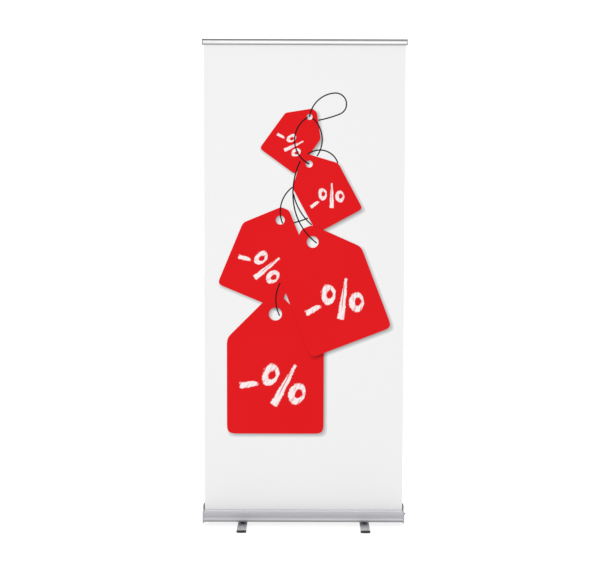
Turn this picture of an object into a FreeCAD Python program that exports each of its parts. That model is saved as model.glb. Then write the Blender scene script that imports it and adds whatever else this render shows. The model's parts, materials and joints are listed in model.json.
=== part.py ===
import FreeCAD, Part

import math
import os

# A roll-up banner stand. +Z is up, the banner faces -Y, and the origin is on
# the floor under the middle of the base. The banner hangs in the plane Y = 0.
# Every length is in millimetres.

Vector = FreeCAD.Vector

# The banner
FILM_WIDTH = 850.0
FILM_THICK = 0.3
FILM_TOP = 2050.0

# The base housing, an aluminium extrusion along X
HOUSING_LENGTH = 852.0
HOUSING_DEPTH = 84.0
HOUSING_BOTTOM = 15.0
HOUSING_TOP = 61.0
FRONT_TOP = 59.5
WALL = 1.8
SLOT_WIDTH = 6.0
LIP_DROP = 7.0
WEB_Y = 7.6
WEB_THICK = 1.6
FINE_GROOVES = (54.0, 50.0, 46.0, 42.0)
FINE_GROOVE_DEPTH = 0.6
DEEP_GROOVE_Z = 38.0
DEEP_GROOVE_DEPTH = 1.0
BAND_BOTTOM = 30.0
FRONT_CURVE = 12.0
SCREW_PORTS = ((-37.6, 54.4), (-34.9, 21.7), (37.8, 38.0))
PORT_RADIUS = 3.4
SCREW_RADIUS = 1.4
SCREW_HEAD_RADIUS = 3.0
SCREW_HEAD_DEPTH = 2.0
SCREW_LENGTH = 20.0

# End caps of the base
CAP_THICK = 5.5
CAP_SKIRT = 4.0
CAP_PROUD = 0.8
SPIGOT_LENGTH = 10.0

# Guide ears that stand on the end caps
EAR_WIDTH = 8.5
EAR_BACK = 22.0
EAR_FRONT = 8.0
EAR_TOP = 88.0

# Spring roller
ROLL_RADIUS = 14.6
TUBE_RADIUS = 14.0
TUBE_WALL = 1.2
ROLLER_HALF = 420.0
PLUG_FLANGE = 4.0
PLUG_DEPTH = 20.0
ROLL_GAP = 0.3
ROLLER_Y = -(ROLL_RADIUS + ROLL_GAP + FILM_THICK / 2)
ROLLER_Z = 39.0
SHAFT_RADIUS = 4.0
SHAFT_END = -92.0
SPRING_RADIUS = 8.0
SPRING_WIRE = 2.0
SPRING_PITCH = 9.0
SPRING_TURNS = 30
SPRING_START = -392.0
ANCHOR_LENGTH = 18.0
ANCHOR_NOSE = 12.0
HUB_LENGTH = 18.0
JOURNAL_RADIUS = 5.0
BUSH_RADIUS = 6.2
BUSH_DEPTH = 4.3
RUNNING_FIT = 0.05

# Roller lock on the right end
LOCK_CIRCLE = 9.5
LOCK_HOLES = 12
LOCK_HOLE_RADIUS = 1.9
LOCK_PIN_RADIUS = 1.5
LOCK_TRAVEL = 4.0
PIN_BUSH_RADIUS = 3.0
PIN_BUSH_DEPTH = 2.2
KNOB_RADIUS = 2.75
KNOB_LENGTH = 4.8

# Telescopic pole behind the banner: outer radius, inner radius, bottom, top
POLE_Y = 24.0
LOWER_TUBE = (11.0, 10.0, 19.0, 740.0)
MIDDLE_TUBE = (9.5, 8.5, 680.0, 1390.0)
UPPER_TUBE = (8.0, 7.0, 1345.0, 2046.0)
BUSH_SLIDER = 20.0
BUSH_STEM = 22.0
BUSH_BORE = 3.0
COLLAR_HEIGHT = 30.0
COLLAR_LIP = 5.0
COLLAR_WALL = 2.6
COLLAR_RIBS = 16
SLIDE_GAP = 0.3
SOCKET_RADIUS = 14.0
SOCKET_FLANGE = 16.0
HEAD_RADIUS = 10.0
HEAD_HEIGHT = 10.0
TONGUE_HALF = 14.0

# Top rail, a hinged clamp
RAIL_HALF = 428.5
RAIL_CAP = 3.0
RAIL_TOP = 2068.0
RAIL_BOTTOM = 2042.5
KNUCKLE_RADIUS = 3.2
BEAD_RADIUS = 1.6
HINGE_Z = RAIL_TOP - KNUCKLE_RADIUS
JAW_WALL = 1.2
JAW_BULGE = 7.0
JAW_CURVE = 13.0
NECK_ANGLE = 228.0
OPEN_ANGLE = 45.0
PLATE_FRONT = 1.2
PLATE_BACK = 2.8
HOOK_WALL_FRONT = 5.4
HOOK_WALL_BACK = 7.0
POCKET_TOP = 2058.8

# Swing feet
FOOT_X = 261.0
FOOT_HALF_WIDTH = 20.0
FOOT_HALF_LENGTH = 154.0
FOOT_BOTTOM = 2.0
FOOT_TOP = 7.8
TIP_REACH = 162.0
TIP_CORNER = 12.0
PAD_THICK = 1.0
PIVOT_RADIUS = 4.0


def across(axis, a, b, along=0.0):
    """The point at a and b across an axis, in X, Y, Z order, and at along on it."""
    if axis == "x":
        return Vector(along, a, b)
    if axis == "y":
        return Vector(a, along, b)
    return Vector(a, b, along)


def corner_edges(before, corner, after, radius):
    """Where a rounded corner starts and ends, and its arc."""
    back = (before - corner).normalize()
    ahead = (after - corner).normalize()
    half = back.getAngle(ahead) / 2
    reach = radius / math.tan(half)
    start = corner + back * reach
    end = corner + ahead * reach
    middle = corner + (back + ahead).normalize() * (radius / math.sin(half) - radius)
    return start, end, Part.Arc(start, middle, end).toShape()


def outline(axis, corners, along=0.0):
    """A closed face across an axis. Each corner is (a, b) or (a, b, radius)."""
    points = [across(axis, c[0], c[1], along) for c in corners]
    starts, ends, arcs = [], [], []
    for i, corner in enumerate(corners):
        start, end, arc = points[i], points[i], None
        if len(corner) > 2:
            after = points[(i + 1) % len(points)]
            start, end, arc = corner_edges(points[i - 1], points[i], after, corner[2])
        starts.append(start)
        ends.append(end)
        arcs.append(arc)
    edges = []
    for i, arc in enumerate(arcs):
        if arc:
            edges.append(arc)
        following = starts[(i + 1) % len(starts)]
        if ends[i].distanceToPoint(following) > 1e-6:
            edges.append(Part.makeLine(ends[i], following))
    return Part.Face(Part.Wire(Part.__sortEdges__(edges)))


def prism(axis, corners, start, end):
    """A straight bar along an axis, with the outline's corners as its section."""
    return outline(axis, corners, start).extrude(across(axis, 0, 0, end - start))


def block(x0, x1, y0, y1, z0, z1):
    return Part.makeBox(x1 - x0, y1 - y0, z1 - z0, Vector(x0, y0, z0))


def rod(axis, radius, a, b, start, end):
    """A round bar along an axis, at a and b across it."""
    direction = across(axis, 0, 0, 1)
    return Part.makeCylinder(radius, end - start, across(axis, a, b, start), direction)


def ring(axis, outer, inner, a, b, start, end):
    return rod(axis, outer, a, b, start, end).cut(rod(axis, inner, a, b, start - 1, end + 1))


def hexagon(axis, radius, a, b, start, end):
    corners = []
    for i in range(6):
        turn = math.radians(60 * i)
        corners.append((a + radius * math.cos(turn), b + radius * math.sin(turn)))
    return prism(axis, corners, start, end)


def round_rim(shape, axis, at, radius):
    """Rounds the edges that lie in the plane across an axis at one place on it."""
    index = "xyz".index(axis)
    rim = []
    for edge in shape.Edges:
        box = edge.BoundBox
        low = (box.XMin, box.YMin, box.ZMin)[index]
        high = (box.XMax, box.YMax, box.ZMax)[index]
        if abs(low - at) < 0.01 and abs(high - at) < 0.01:
            rim.append(edge)
    return shape.makeFillet(radius, rim)


def mirrored(shape):
    """The same shape on the other side of the plane X = 0."""
    return shape.mirror(Vector(0, 0, 0), Vector(1, 0, 0))


def save(node, *solids):
    """Writes a node of one or more separate solids."""
    shape = solids[0] if len(solids) == 1 else Part.makeCompound(solids)
    shape.exportStep("parts/" + node + ".step")
    print(node, len(shape.Solids), round(shape.Volume / 1000, 2), shape.isValid())


# The base housing


def housing_outline():
    """The outer section: grooves and a sloping band down the front, then a curve under."""
    front = -HOUSING_DEPTH / 2
    corners = [(-SLOT_WIDTH / 2, HOUSING_TOP), (front, FRONT_TOP, 3.0)]
    for z in FINE_GROOVES:
        corners.append((front, z + FINE_GROOVE_DEPTH))
        corners.append((front + FINE_GROOVE_DEPTH, z))
        corners.append((front, z - FINE_GROOVE_DEPTH))
    corners.append((front, DEEP_GROOVE_Z + 1.0))
    corners.append((front + DEEP_GROOVE_DEPTH, DEEP_GROOVE_Z + 0.6))
    corners.append((front + DEEP_GROOVE_DEPTH, DEEP_GROOVE_Z - 1.2))
    corners.append((front, BAND_BOTTOM, 1.5))
    corners.append((front, HOUSING_BOTTOM, FRONT_CURVE))
    corners.append((-front, HOUSING_BOTTOM, 6.0))
    corners.append((-front, HOUSING_TOP, 3.0))
    return corners


def make_housing():
    half = HOUSING_LENGTH / 2
    inner = HOUSING_DEPTH / 2 - WALL
    floor = HOUSING_BOTTOM + WALL
    ceiling = HOUSING_TOP - WALL
    web_back = WEB_Y + WEB_THICK
    front_room = [(0.4 - inner, floor, FRONT_CURVE - 2), (WEB_Y, floor)]
    front_room += [(WEB_Y, ceiling), (0.4 - inner, FRONT_TOP - WALL, 1.5)]
    rear_room = [(web_back, floor), (inner, floor, 4.2), (inner, ceiling, 1.2), (web_back, ceiling)]
    body = prism("x", housing_outline(), -half, half)
    body = body.cut([prism("x", room, -half - 1, half + 1) for room in (front_room, rear_room)])
    lip = SLOT_WIDTH / 2
    added = []
    for side in (-1, 1):
        near, far = sorted((side * (lip - 0.8), side * (lip + 1.6)))
        added.append(block(-half, half, near, far, ceiling + 0.9 - LIP_DROP, ceiling + 0.9))
    for y, z in SCREW_PORTS:
        added.append(rod("x", PORT_RADIUS, y, z, -half, half))
    body = body.fuse(added)
    removed = [block(-half - 1, half + 1, -lip, lip, ceiling - LIP_DROP, HOUSING_TOP + 1)]
    removed.append(rod("z", SOCKET_RADIUS, 0, POLE_Y, floor, HOUSING_TOP + 1))
    for y, z in SCREW_PORTS:
        removed.append(rod("x", SCREW_RADIUS, y, z, -half - 1, half + 1))
    for x in (-FOOT_X, FOOT_X):
        removed.append(rod("z", PIVOT_RADIUS, x, 0, HOUSING_BOTTOM - 1, floor + 1))
    return body.cut(removed).removeSplitter()


# End caps, their screws and the guide ears, made for the right end


def screw_body(y, z):
    """A countersunk screw in the right end cap, without its cross slot."""
    face = HOUSING_LENGTH / 2 + CAP_THICK
    shank = rod("x", SCREW_RADIUS, y, z, face - SCREW_LENGTH, face - 1)
    start = Vector(face - SCREW_HEAD_DEPTH, y, z)
    head = Part.makeCone(SCREW_RADIUS, SCREW_HEAD_RADIUS, SCREW_HEAD_DEPTH, start, Vector(1, 0, 0))
    return shank.fuse(head)


def cap_screws():
    """Three flush countersunk screws that hold the right end cap on."""
    face = HOUSING_LENGTH / 2 + CAP_THICK
    reach = 2.2
    half = 0.35
    screws = []
    for y, z in SCREW_PORTS:
        level = block(face - 0.8, face + 1, y - reach, y + reach, z - half, z + half)
        upright = block(face - 0.8, face + 1, y - half, y + half, z - reach, z + reach)
        screws.append(screw_body(y, z).cut(level.fuse(upright)).removeSplitter())
    return screws


def ear_peg():
    inner = HOUSING_LENGTH / 2
    top = HOUSING_TOP + CAP_PROUD
    return block(inner + 1.2, inner + 4.2, EAR_FRONT + 3, EAR_BACK - 3, top - 6, top)


def plain_end_cap():
    """The right end plate with its skirt, rear spigot, screw holes and ear pocket."""
    inner = HOUSING_LENGTH / 2
    half = HOUSING_DEPTH / 2 + CAP_PROUD
    bottom = HOUSING_BOTTOM - CAP_SKIRT
    corners = [(-half, bottom, 8.0), (half, bottom, 5.0), (half, HOUSING_TOP + CAP_PROUD, 3.6)]
    corners.append((-half, FRONT_TOP + CAP_PROUD, 3.6))
    plate = prism("x", corners, inner, inner + CAP_THICK)
    plate = round_rim(plate, "x", inner + CAP_THICK, 1.0)
    spigot = block(inner - SPIGOT_LENGTH, inner, 11, 32, 19, 57)
    hollow = block(inner - SPIGOT_LENGTH - 1, inner, 13, 30, 21, 55)
    screws = [screw_body(y, z) for y, z in SCREW_PORTS]
    return plate.fuse(spigot.cut(hollow)).cut(screws + [ear_peg()])


def make_guide_ear():
    """An ear that bows outward and leans in at its top, on a broad foot."""
    outer = HOUSING_LENGTH / 2 + CAP_THICK
    foot = outer - EAR_WIDTH
    low = HOUSING_TOP + CAP_PROUD
    corners = [(foot, low, 1.0), (outer, low), (outer, low + 13, 20.0), (outer - 4.5, EAR_TOP, 1.4)]
    corners += [(outer - 7.6, EAR_TOP - 1.2, 1.0), (outer - 4.2, low + 12, 14.0)]
    corners += [(outer - 4.6, low + 7.5, 2.5), (foot, low + 5.5, 2.0)]
    ear = prism("y", corners, EAR_FRONT, EAR_BACK)
    ear = round_rim(round_rim(ear, "y", EAR_FRONT, 0.8), "y", EAR_BACK, 0.8)
    return ear.fuse(ear_peg()).removeSplitter()


def make_left_cap():
    """The left cap holds the spring shaft's hexagonal end in a blind pocket."""
    cap = mirrored(plain_end_cap())
    return cap.cut(shaft_end()).removeSplitter()


def make_right_cap():
    """The right cap holds the roller's bush and the lock pin's bush and recess."""
    inner = HOUSING_LENGTH / 2
    pin_z = ROLLER_Z + LOCK_CIRCLE
    floor = inner + PIN_BUSH_DEPTH
    seat = rod("x", BUSH_RADIUS, ROLLER_Y, ROLLER_Z, inner - 1, inner + BUSH_DEPTH)
    guide = rod("x", PIN_BUSH_RADIUS, ROLLER_Y, pin_z, inner - 1, floor)
    recess = rod("x", KNOB_RADIUS + SLIDE_GAP, ROLLER_Y, pin_z, floor, inner + CAP_THICK + 1)
    return plain_end_cap().cut([seat, guide, recess]).removeSplitter()


# The spring roller


def shaft_end():
    start = -(HOUSING_LENGTH / 2 + CAP_THICK - 1.2)
    return hexagon("x", SHAFT_RADIUS, ROLLER_Y, ROLLER_Z, start, -ROLLER_HALF - PLUG_FLANGE - 0.4)


def make_spring_shaft():
    """A fixed round shaft whose left end is a hexagon."""
    start = -ROLLER_HALF - PLUG_FLANGE - 0.4
    shaft = rod("x", SHAFT_RADIUS, ROLLER_Y, ROLLER_Z, start, SHAFT_END)
    return shaft.fuse(shaft_end()).removeSplitter()


def make_spring():
    """An open helix round the shaft; it is wound up as the banner is pulled out."""
    helix = Part.makeHelix(SPRING_PITCH, SPRING_PITCH * SPRING_TURNS, SPRING_RADIUS)
    start = Vector(SPRING_RADIUS, 0, 0)
    section = Part.Wire(Part.makeCircle(SPRING_WIRE / 2, start, Vector(0, 1, 0)))
    spring = Part.Wire(helix).makePipeShell([section], True, True)
    spring.rotate(Vector(0, 0, 0), Vector(0, 1, 0), 90)
    spring.translate(Vector(SPRING_START, ROLLER_Y, ROLLER_Z))
    return spring


def make_spring_anchor():
    """The plug inside the tube that carries the spring's moving end."""
    start = SPRING_START + SPRING_PITCH * SPRING_TURNS + SPRING_WIRE
    plug = rod("x", TUBE_RADIUS - TUBE_WALL, ROLLER_Y, ROLLER_Z, start, start + ANCHOR_LENGTH)
    nose = rod("x", SPRING_RADIUS - SPRING_WIRE, ROLLER_Y, ROLLER_Z, start - ANCHOR_NOSE, start)
    bore_start = start - ANCHOR_NOSE - 1
    bore = rod("x", SHAFT_RADIUS + RUNNING_FIT, ROLLER_Y, ROLLER_Z, bore_start, start + ANCHOR_LENGTH + 1)
    return plug.fuse(nose).cut(bore).removeSplitter()


def make_left_plug():
    """The idle plug; it turns on the spring shaft."""
    tube_end = -ROLLER_HALF
    flange = rod("x", TUBE_RADIUS, ROLLER_Y, ROLLER_Z, tube_end - PLUG_FLANGE, tube_end)
    body = rod("x", TUBE_RADIUS - TUBE_WALL, ROLLER_Y, ROLLER_Z, tube_end, tube_end + PLUG_DEPTH)
    bore_end = tube_end + PLUG_DEPTH + 1
    bore = rod("x", SHAFT_RADIUS + RUNNING_FIT, ROLLER_Y, ROLLER_Z, tube_end - 10, bore_end)
    return flange.fuse(body).cut(bore).removeSplitter()


def make_right_plug():
    """The lock plug, with a journal and a ring of holes for the lock pin."""
    tube_end = ROLLER_HALF
    face = tube_end + PLUG_FLANGE
    flange = rod("x", TUBE_RADIUS, ROLLER_Y, ROLLER_Z, tube_end, face)
    body = rod("x", TUBE_RADIUS - TUBE_WALL, ROLLER_Y, ROLLER_Z, tube_end - PLUG_DEPTH, tube_end)
    journal = rod("x", JOURNAL_RADIUS, ROLLER_Y, ROLLER_Z, face, face + 5.8)
    holes = []
    for i in range(LOCK_HOLES):
        turn = 2 * math.pi * i / LOCK_HOLES
        y = ROLLER_Y + LOCK_CIRCLE * math.cos(turn)
        z = ROLLER_Z + LOCK_CIRCLE * math.sin(turn)
        holes.append(rod("x", LOCK_HOLE_RADIUS, y, z, face - 8, face + 1))
    return flange.fuse([body, journal]).cut(holes).removeSplitter()


# The roller lock


def knob_start():
    """Clear of the recess's floor by the pin's travel and a little more."""
    return HOUSING_LENGTH / 2 + PIN_BUSH_DEPTH + LOCK_TRAVEL + SLIDE_GAP


def make_lock_pin():
    """The pin's tip waits just outside the face of the roller's lock plug."""
    tip = HOUSING_LENGTH / 2 - 0.5
    return rod("x", LOCK_PIN_RADIUS, ROLLER_Y, ROLLER_Z + LOCK_CIRCLE, tip, knob_start() + 2.8)


def make_lock_knob():
    """A small button with a rounded end, fixed to the pin."""
    end = knob_start() + KNOB_LENGTH
    knob = rod("x", KNOB_RADIUS, ROLLER_Y, ROLLER_Z + LOCK_CIRCLE, knob_start(), end)
    return round_rim(knob, "x", end, 0.9).cut(make_lock_pin()).removeSplitter()


# The telescopic pole


def pole_tube(size):
    outer, inner, low, high = size
    return ring("z", outer, inner, 0, POLE_Y, low, high)


def pole_bush(tube, around):
    """A plastic bush on a tube's lower end, sliding in the tube around it."""
    low = tube[2]
    slider = rod("z", around[1] - RUNNING_FIT, 0, POLE_Y, low - BUSH_SLIDER, low)
    stem = rod("z", tube[1], 0, POLE_Y, low, low + BUSH_STEM)
    bore = rod("z", BUSH_BORE, 0, POLE_Y, low - BUSH_SLIDER - 1, low + BUSH_STEM + 1)
    return slider.fuse(stem).cut(bore).removeSplitter()


def lock_collar(tube, inside):
    """A ribbed collar that turns on a tube's upper end and grips the tube inside it."""
    top = tube[3] + COLLAR_LIP
    low = top - COLLAR_HEIGHT
    outer = tube[0] + COLLAR_WALL
    body = rod("z", outer, 0, POLE_Y, low, top)
    body = round_rim(round_rim(body, "z", low, 0.8), "z", top, 0.8)
    ribs = []
    for i in range(COLLAR_RIBS):
        turn = 2 * math.pi * i / COLLAR_RIBS
        x = outer * math.cos(turn)
        y = POLE_Y + outer * math.sin(turn)
        ribs.append(rod("z", 1.0, x, y, low + 3, top - 3))
    bore = rod("z", tube[0] + RUNNING_FIT, 0, POLE_Y, low - 1, tube[3] + SLIDE_GAP)
    mouth = rod("z", inside[0] + SLIDE_GAP, 0, POLE_Y, low, top + 1)
    return body.fuse(ribs).cut([bore, mouth]).removeSplitter()


def make_pole_socket():
    """A cup in the base that the pole stands in."""
    floor = HOUSING_BOTTOM + WALL
    cup = rod("z", SOCKET_RADIUS, 0, POLE_Y, floor, HOUSING_TOP)
    flange = rod("z", SOCKET_FLANGE, 0, POLE_Y, HOUSING_TOP, HOUSING_TOP + 3)
    flange = round_rim(flange, "z", HOUSING_TOP + 3, 1.2)
    bore = rod("z", LOWER_TUBE[0], 0, POLE_Y, LOWER_TUBE[2], HOUSING_TOP + 4)
    return cup.fuse(flange).cut(bore).removeSplitter()


def make_pole_hook():
    """The head of the pole, with a tongue that stands in the rail's rear pocket."""
    top = UPPER_TUBE[3]
    plug = rod("z", UPPER_TUBE[1], 0, POLE_Y, top - 30, top)
    head = round_rim(rod("z", HEAD_RADIUS, 0, POLE_Y, top, top + HEAD_HEIGHT), "z", top + HEAD_HEIGHT, 2.0)
    tongue_front = PLATE_BACK + 0.4
    tongue_back = HOOK_WALL_FRONT - 0.4
    arm = block(-8, 8, tongue_front, POLE_Y, top, top + 4)
    tongue = block(-TONGUE_HALF, TONGUE_HALF, tongue_front, tongue_back, top, POCKET_TOP - 0.4)
    return plug.fuse([head, arm, tongue]).removeSplitter()


# The top rail


def wedge_opening():
    """The gap in the knuckle that the front jaw's neck swings through."""
    spread = math.degrees(math.asin(JAW_WALL / 2 / BEAD_RADIUS)) + 4
    first = math.radians(NECK_ANGLE - OPEN_ANGLE - spread)
    last = math.radians(NECK_ANGLE + spread)
    corners = [(0, HINGE_Z)]
    for i in range(3):
        turn = first + (last - first) * i / 2
        corners.append((8 * math.cos(turn), HINGE_Z + 8 * math.sin(turn)))
    return prism("x", corners, -RAIL_HALF - 1, RAIL_HALF + 1)


def make_rear_jaw():
    """A plate with a hinge knuckle above it and a hook wall behind it."""
    knuckle = rod("x", KNUCKLE_RADIUS, 0, HINGE_Z, -RAIL_HALF, RAIL_HALF)
    plate = block(-RAIL_HALF, RAIL_HALF, PLATE_FRONT, PLATE_BACK, RAIL_BOTTOM + 0.5, HINGE_Z - 2)
    corners = [(PLATE_FRONT, POCKET_TOP), (HOOK_WALL_BACK, POCKET_TOP)]
    corners += [(HOOK_WALL_BACK, POCKET_TOP + 1.8, 1.0), (PLATE_BACK, HINGE_Z - 1.2)]
    bridge = prism("x", corners, -RAIL_HALF, RAIL_HALF)
    wall = block(-RAIL_HALF, RAIL_HALF, HOOK_WALL_FRONT, HOOK_WALL_BACK, POCKET_TOP - 8.3, POCKET_TOP + 0.5)
    body = knuckle.fuse([plate, bridge, wall])
    groove = rod("x", BEAD_RADIUS + RUNNING_FIT, 0, HINGE_Z, -RAIL_HALF - 1, RAIL_HALF + 1)
    return body.cut([groove, wedge_opening()]).removeSplitter()


def jaw_arc_point(radius, z):
    """A point of the front jaw's curve, whose middle stands out by JAW_BULGE."""
    centre_y = JAW_CURVE - JAW_BULGE
    centre_z = HINGE_Z - 11.6
    return Vector(0, centre_y - math.sqrt(radius ** 2 - (z - centre_z) ** 2), z)


def jaw_shell(length):
    """The curved front of the jaw, a thin shell between two arcs."""
    top = HINGE_Z - 3.4
    middle = HINGE_Z - 11.6
    foot = RAIL_BOTTOM
    inner = JAW_CURVE - JAW_WALL
    outside = [jaw_arc_point(JAW_CURVE, z) for z in (top, middle, foot)]
    inside = [jaw_arc_point(inner, z) for z in (foot + 1.6, middle, top)]
    lip_back = Vector(0, -FILM_THICK / 2 - ROLL_GAP, foot)
    lip_top = Vector(0, -FILM_THICK / 2 - ROLL_GAP, foot + 1.6)
    edges = [Part.Arc(*outside).toShape(), Part.makeLine(outside[2], lip_back)]
    edges += [Part.makeLine(lip_back, lip_top), Part.makeLine(lip_top, inside[0])]
    edges += [Part.Arc(*inside).toShape(), Part.makeLine(inside[2], outside[0])]
    face = Part.Face(Part.Wire(edges))
    face.translate(Vector(-length / 2, 0, 0))
    return face.extrude(Vector(length, 0, 0))


def make_front_jaw():
    """A curved jaw that hangs from the knuckle by a bead and presses on the banner."""
    half = RAIL_HALF - ROLL_GAP
    bead = rod("x", BEAD_RADIUS, 0, HINGE_Z, -half, half)
    neck = block(-half, half, 0, 5.0, HINGE_Z - JAW_WALL / 2, HINGE_Z + JAW_WALL / 2)
    neck.rotate(Vector(0, 0, HINGE_Z), Vector(1, 0, 0), NECK_ANGLE)
    return jaw_shell(2 * half).fuse([bead, neck]).removeSplitter()


def make_grip_strip():
    """A soft strip on the rear jaw, against the back of the banner."""
    return block(-RAIL_HALF, RAIL_HALF, FILM_THICK / 2, PLATE_FRONT, RAIL_BOTTOM + 0.5, RAIL_BOTTOM + 7)


def make_rail_cap():
    """The right end plate of the rail, with a spigot in the rear pocket."""
    corners = [(-JAW_BULGE - 0.3, RAIL_BOTTOM - 0.3, 5.0), (HOOK_WALL_BACK + 0.3, RAIL_BOTTOM - 0.3, 1.5)]
    corners += [(HOOK_WALL_BACK + 0.3, POCKET_TOP + 3, 2.0), (2.8, RAIL_TOP + 0.3, 2.4)]
    corners += [(-3.2, RAIL_TOP + 0.3, 2.4), (-JAW_BULGE - 0.3, HINGE_Z - 9, 5.0)]
    plate = prism("x", corners, RAIL_HALF, RAIL_HALF + RAIL_CAP)
    plate = round_rim(plate, "x", RAIL_HALF + RAIL_CAP, 0.7)
    spigot = block(RAIL_HALF - 12, RAIL_HALF, PLATE_BACK, HOOK_WALL_FRONT, POCKET_TOP - 7, POCKET_TOP)
    return plate.fuse(spigot).cut(rail_cap_screw()).removeSplitter()


def rail_cap_screw():
    """A countersunk screw, flush with the rail's right end plate."""
    face = RAIL_HALF + RAIL_CAP
    y = (PLATE_BACK + HOOK_WALL_FRONT) / 2
    z = POCKET_TOP - 3.5
    head = Part.makeCone(0.9, 2.0, 1.4, Vector(face - 1.4, y, z), Vector(1, 0, 0))
    return rod("x", 0.9, y, z, face - 9, face - 0.5).fuse(head).removeSplitter()


# Swing feet, made for the right side


def foot_section():
    """A shallow channel with V grooves along its top and two ribs underneath."""
    side = FOOT_HALF_WIDTH
    roof = FOOT_TOP - 1.8
    corners = [(-side, FOOT_BOTTOM), (-side, FOOT_TOP, 1.2)]
    for x in (-10, 0, 10):
        corners += [(x - 0.8, FOOT_TOP), (x, FOOT_TOP - 0.6), (x + 0.8, FOOT_TOP)]
    corners += [(side, FOOT_TOP, 1.2), (side, FOOT_BOTTOM), (side - 1.6, FOOT_BOTTOM), (side - 1.6, roof)]
    for x in (10, -10):
        corners += [(x + 0.6, roof), (x + 0.6, roof - 3), (x - 0.6, roof - 3), (x - 0.6, roof)]
    corners += [(1.6 - side, roof), (1.6 - side, FOOT_BOTTOM)]
    return corners


def make_foot_bar():
    bar = prism("y", foot_section(), -FOOT_HALF_LENGTH, FOOT_HALF_LENGTH)
    boss = rod("z", 9.0, 0, 0, FOOT_BOTTOM + 1.5, FOOT_TOP - 1.2)
    bore = rod("z", PIVOT_RADIUS + RUNNING_FIT, 0, 0, 0, FOOT_TOP + 1)
    return bar.fuse(boss).cut(bore).removeSplitter()


def foot_tip():
    """The black cap on the foot's rear end, with round corners in plan."""
    side = FOOT_HALF_WIDTH + 0.8
    top = FOOT_TOP + 0.8
    start = TIP_REACH - 16
    corners = [(-side, start), (side, start), (side, TIP_REACH, TIP_CORNER), (-side, TIP_REACH, TIP_CORNER)]
    tip = prism("z", corners, PAD_THICK, top)
    rim = [e for e in tip.Edges if e.BoundBox.ZMin > top - 0.01 and e.BoundBox.YMax > start + 1]
    tip = tip.makeFillet(1.8, rim)
    pocket = block(-FOOT_HALF_WIDTH, FOOT_HALF_WIDTH, start - 1, FOOT_HALF_LENGTH, FOOT_BOTTOM, FOOT_TOP)
    return tip.cut(pocket).removeSplitter()


def foot_pads():
    """Two rubber pads under the foot's rear tip."""
    half = 5.0
    near, far = TIP_REACH - 14, TIP_REACH - 4
    pads = []
    for x in (-12, 12):
        corners = [(x - half, near, 2), (x + half, near, 2), (x + half, far, 2), (x - half, far, 2)]
        pads.append(prism("z", corners, 0, PAD_THICK))
    return pads


def both_ends(shapes):
    """The same shapes on the rear and the front end of a foot."""
    turned = [shape.copy() for shape in shapes]
    for shape in turned:
        shape.rotate(Vector(0, 0, 0), Vector(0, 0, 1), 180)
    return shapes + turned


def moved_to(x, shapes):
    moved = [shape.copy() for shape in shapes]
    for shape in moved:
        shape.translate(Vector(x, 0, 0))
    return moved


def pivot_bolt():
    """The bolt a foot swings on: its low head is under the foot's boss."""
    head = rod("z", 7.0, 0, 0, FOOT_BOTTOM - 0.5, FOOT_BOTTOM + 1.2)
    shank = rod("z", PIVOT_RADIUS, 0, 0, FOOT_BOTTOM + 1.2, HOUSING_BOTTOM + WALL + 6.5)
    socket = hexagon("z", 2.6, 0, 0, FOOT_BOTTOM - 1, FOOT_BOTTOM + 0.6)
    return head.fuse(shank).cut(socket).removeSplitter()


def foot_spacer():
    return ring("z", 12.0, PIVOT_RADIUS, 0, 0, FOOT_TOP + SLIDE_GAP, HOUSING_BOTTOM)


def pivot_nut():
    floor = HOUSING_BOTTOM + WALL
    return hexagon("z", 7.0, 0, 0, floor, floor + 5).cut(rod("z", PIVOT_RADIUS, 0, 0, floor - 1, floor + 6))


def save_base():
    half = HOUSING_LENGTH / 2
    save("base_housing", make_housing())
    save("end_cap_left", make_left_cap())
    save("end_cap_right", make_right_cap())
    save("cap_screws_left", *[mirrored(screw) for screw in cap_screws()])
    save("cap_screws_right", *cap_screws())
    save("guide_ear_left", mirrored(make_guide_ear()))
    save("guide_ear_right", make_guide_ear())
    save("pivot_bolts", *(moved_to(-FOOT_X, [pivot_bolt()]) + moved_to(FOOT_X, [pivot_bolt()])))
    save("foot_spacers", *(moved_to(-FOOT_X, [foot_spacer()]) + moved_to(FOOT_X, [foot_spacer()])))
    save("pivot_nuts", *(moved_to(-FOOT_X, [pivot_nut()]) + moved_to(FOOT_X, [pivot_nut()])))
    bush = (JOURNAL_RADIUS + RUNNING_FIT, ROLLER_Y, ROLLER_Z)
    save("roller_bush", ring("x", BUSH_RADIUS, *bush, half, half + BUSH_DEPTH))
    pin_bush = (LOCK_PIN_RADIUS + RUNNING_FIT, ROLLER_Y, ROLLER_Z + LOCK_CIRCLE)
    save("lock_pin_bush", ring("x", PIN_BUSH_RADIUS, *pin_bush, half - 1, half + PIN_BUSH_DEPTH))


def save_roller():
    inner = TUBE_RADIUS - TUBE_WALL
    save("spring_shaft", make_spring_shaft())
    hub_start = -ROLLER_HALF + PLUG_DEPTH + 2
    hub = (SPRING_RADIUS - SPRING_WIRE, SHAFT_RADIUS, ROLLER_Y, ROLLER_Z, hub_start, hub_start + HUB_LENGTH)
    save("spring_hub", ring("x", *hub))
    save("roller_spring", make_spring())
    save("spring_anchor", make_spring_anchor())
    save("roller_tube", ring("x", TUBE_RADIUS, inner, ROLLER_Y, ROLLER_Z, -ROLLER_HALF, ROLLER_HALF))
    save("roller_plug_left", make_left_plug())
    save("roller_plug_right", make_right_plug())
    roll = (ROLL_RADIUS, TUBE_RADIUS, ROLLER_Y, ROLLER_Z)
    save("banner_roll", ring("x", *roll, -ROLLER_HALF - PLUG_FLANGE, ROLLER_HALF + PLUG_FLANGE))
    save("lock_pin", make_lock_pin())
    save("lock_knob", make_lock_knob())


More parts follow.
